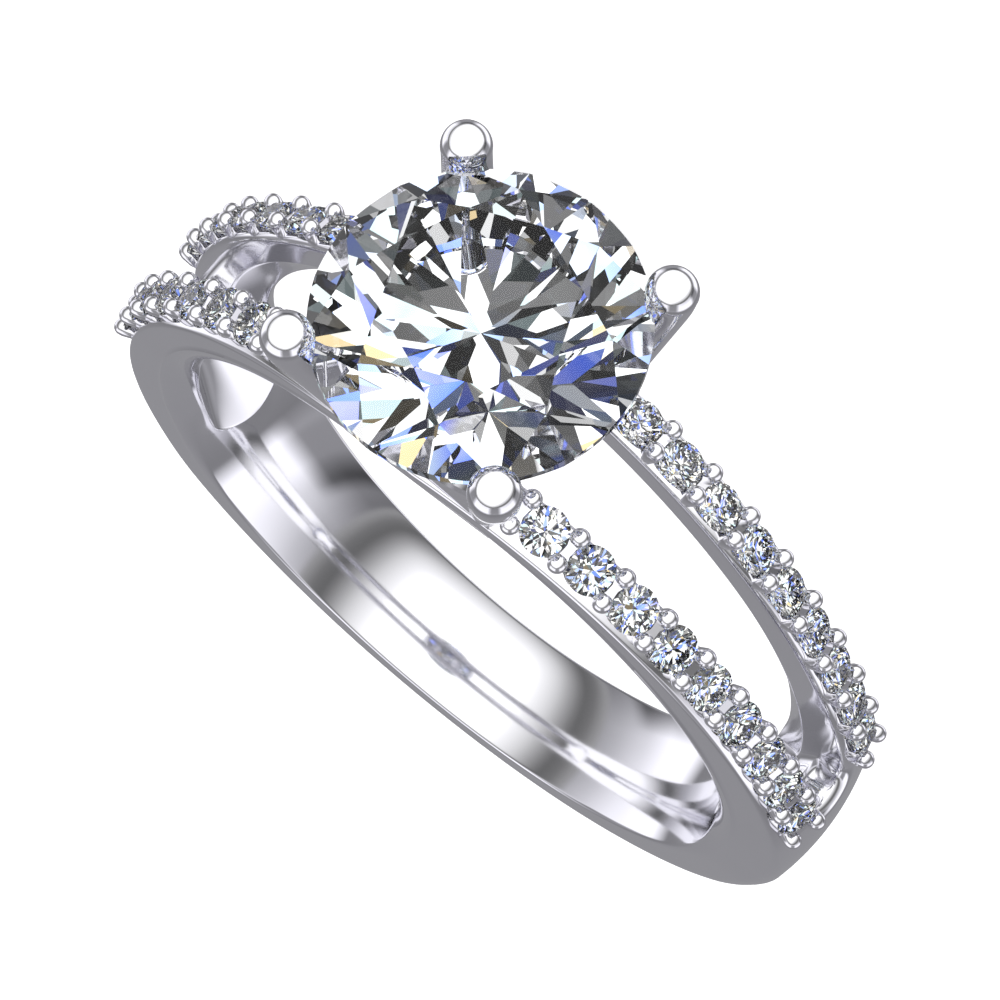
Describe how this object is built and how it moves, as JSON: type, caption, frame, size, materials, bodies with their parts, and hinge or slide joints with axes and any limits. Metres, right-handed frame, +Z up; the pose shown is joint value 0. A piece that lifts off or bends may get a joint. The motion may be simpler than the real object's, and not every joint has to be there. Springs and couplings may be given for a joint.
{
  "type": "finger ring",
  "caption": "Split-shank finger ring with a large round brilliant held by domed claws and small round stones set between beads along its rails.",
  "frame": {"origin": "middle of the ring's footprint on the table it lies on", "axes": "+Z up from the table, +Y towards the centre stone, X across the ring"},
  "size_m": [0.0228, 0.0264, 0.0075],
  "materials": {
    "white_metal": "polished",
    "clear_stone": "polished"
  },
  "bodies": {
    "root": {"band": "white_metal", "centre_stone": "clear_stone", "accent_stone_fr_1": "clear_stone", "accent_stone_fr_2": "clear_stone", "accent_stone_fr_3": "clear_stone", "accent_stone_fr_4": "clear_stone", "accent_stone_fr_5": "clear_stone", "accent_stone_fr_6": "clear_stone", "accent_stone_fr_7": "clear_stone", "accent_stone_fr_8": "clear_stone", "accent_stone_fr_9": "clear_stone", "accent_stone_fl_1": "clear_stone", "accent_stone_fl_2": "clear_stone", "accent_stone_fl_3": "clear_stone", "accent_stone_fl_4": "clear_stone", "accent_stone_fl_5": "clear_stone", "accent_stone_fl_6": "clear_stone", "accent_stone_fl_7": "clear_stone", "accent_stone_fl_8": "clear_stone", "accent_stone_fl_9": "clear_stone", "accent_stone_nr_1": "clear_stone", "accent_stone_nr_2": "clear_stone", "accent_stone_nr_3": "clear_stone", "accent_stone_nr_4": "clear_stone", "accent_stone_nr_5": "clear_stone", "accent_stone_nr_6": "clear_stone", "accent_stone_nr_7": "clear_stone", "accent_stone_nr_8": "clear_stone", "accent_stone_nr_9": "clear_stone", "accent_stone_nl_1": "clear_stone", "accent_stone_nl_2": "clear_stone", "accent_stone_nl_3": "clear_stone", "accent_stone_nl_4": "clear_stone", "accent_stone_nl_5": "clear_stone", "accent_stone_nl_6": "clear_stone", "accent_stone_nl_7": "clear_stone", "accent_stone_nl_8": "clear_stone", "accent_stone_nl_9": "clear_stone"}
  },
  "joints": []
}
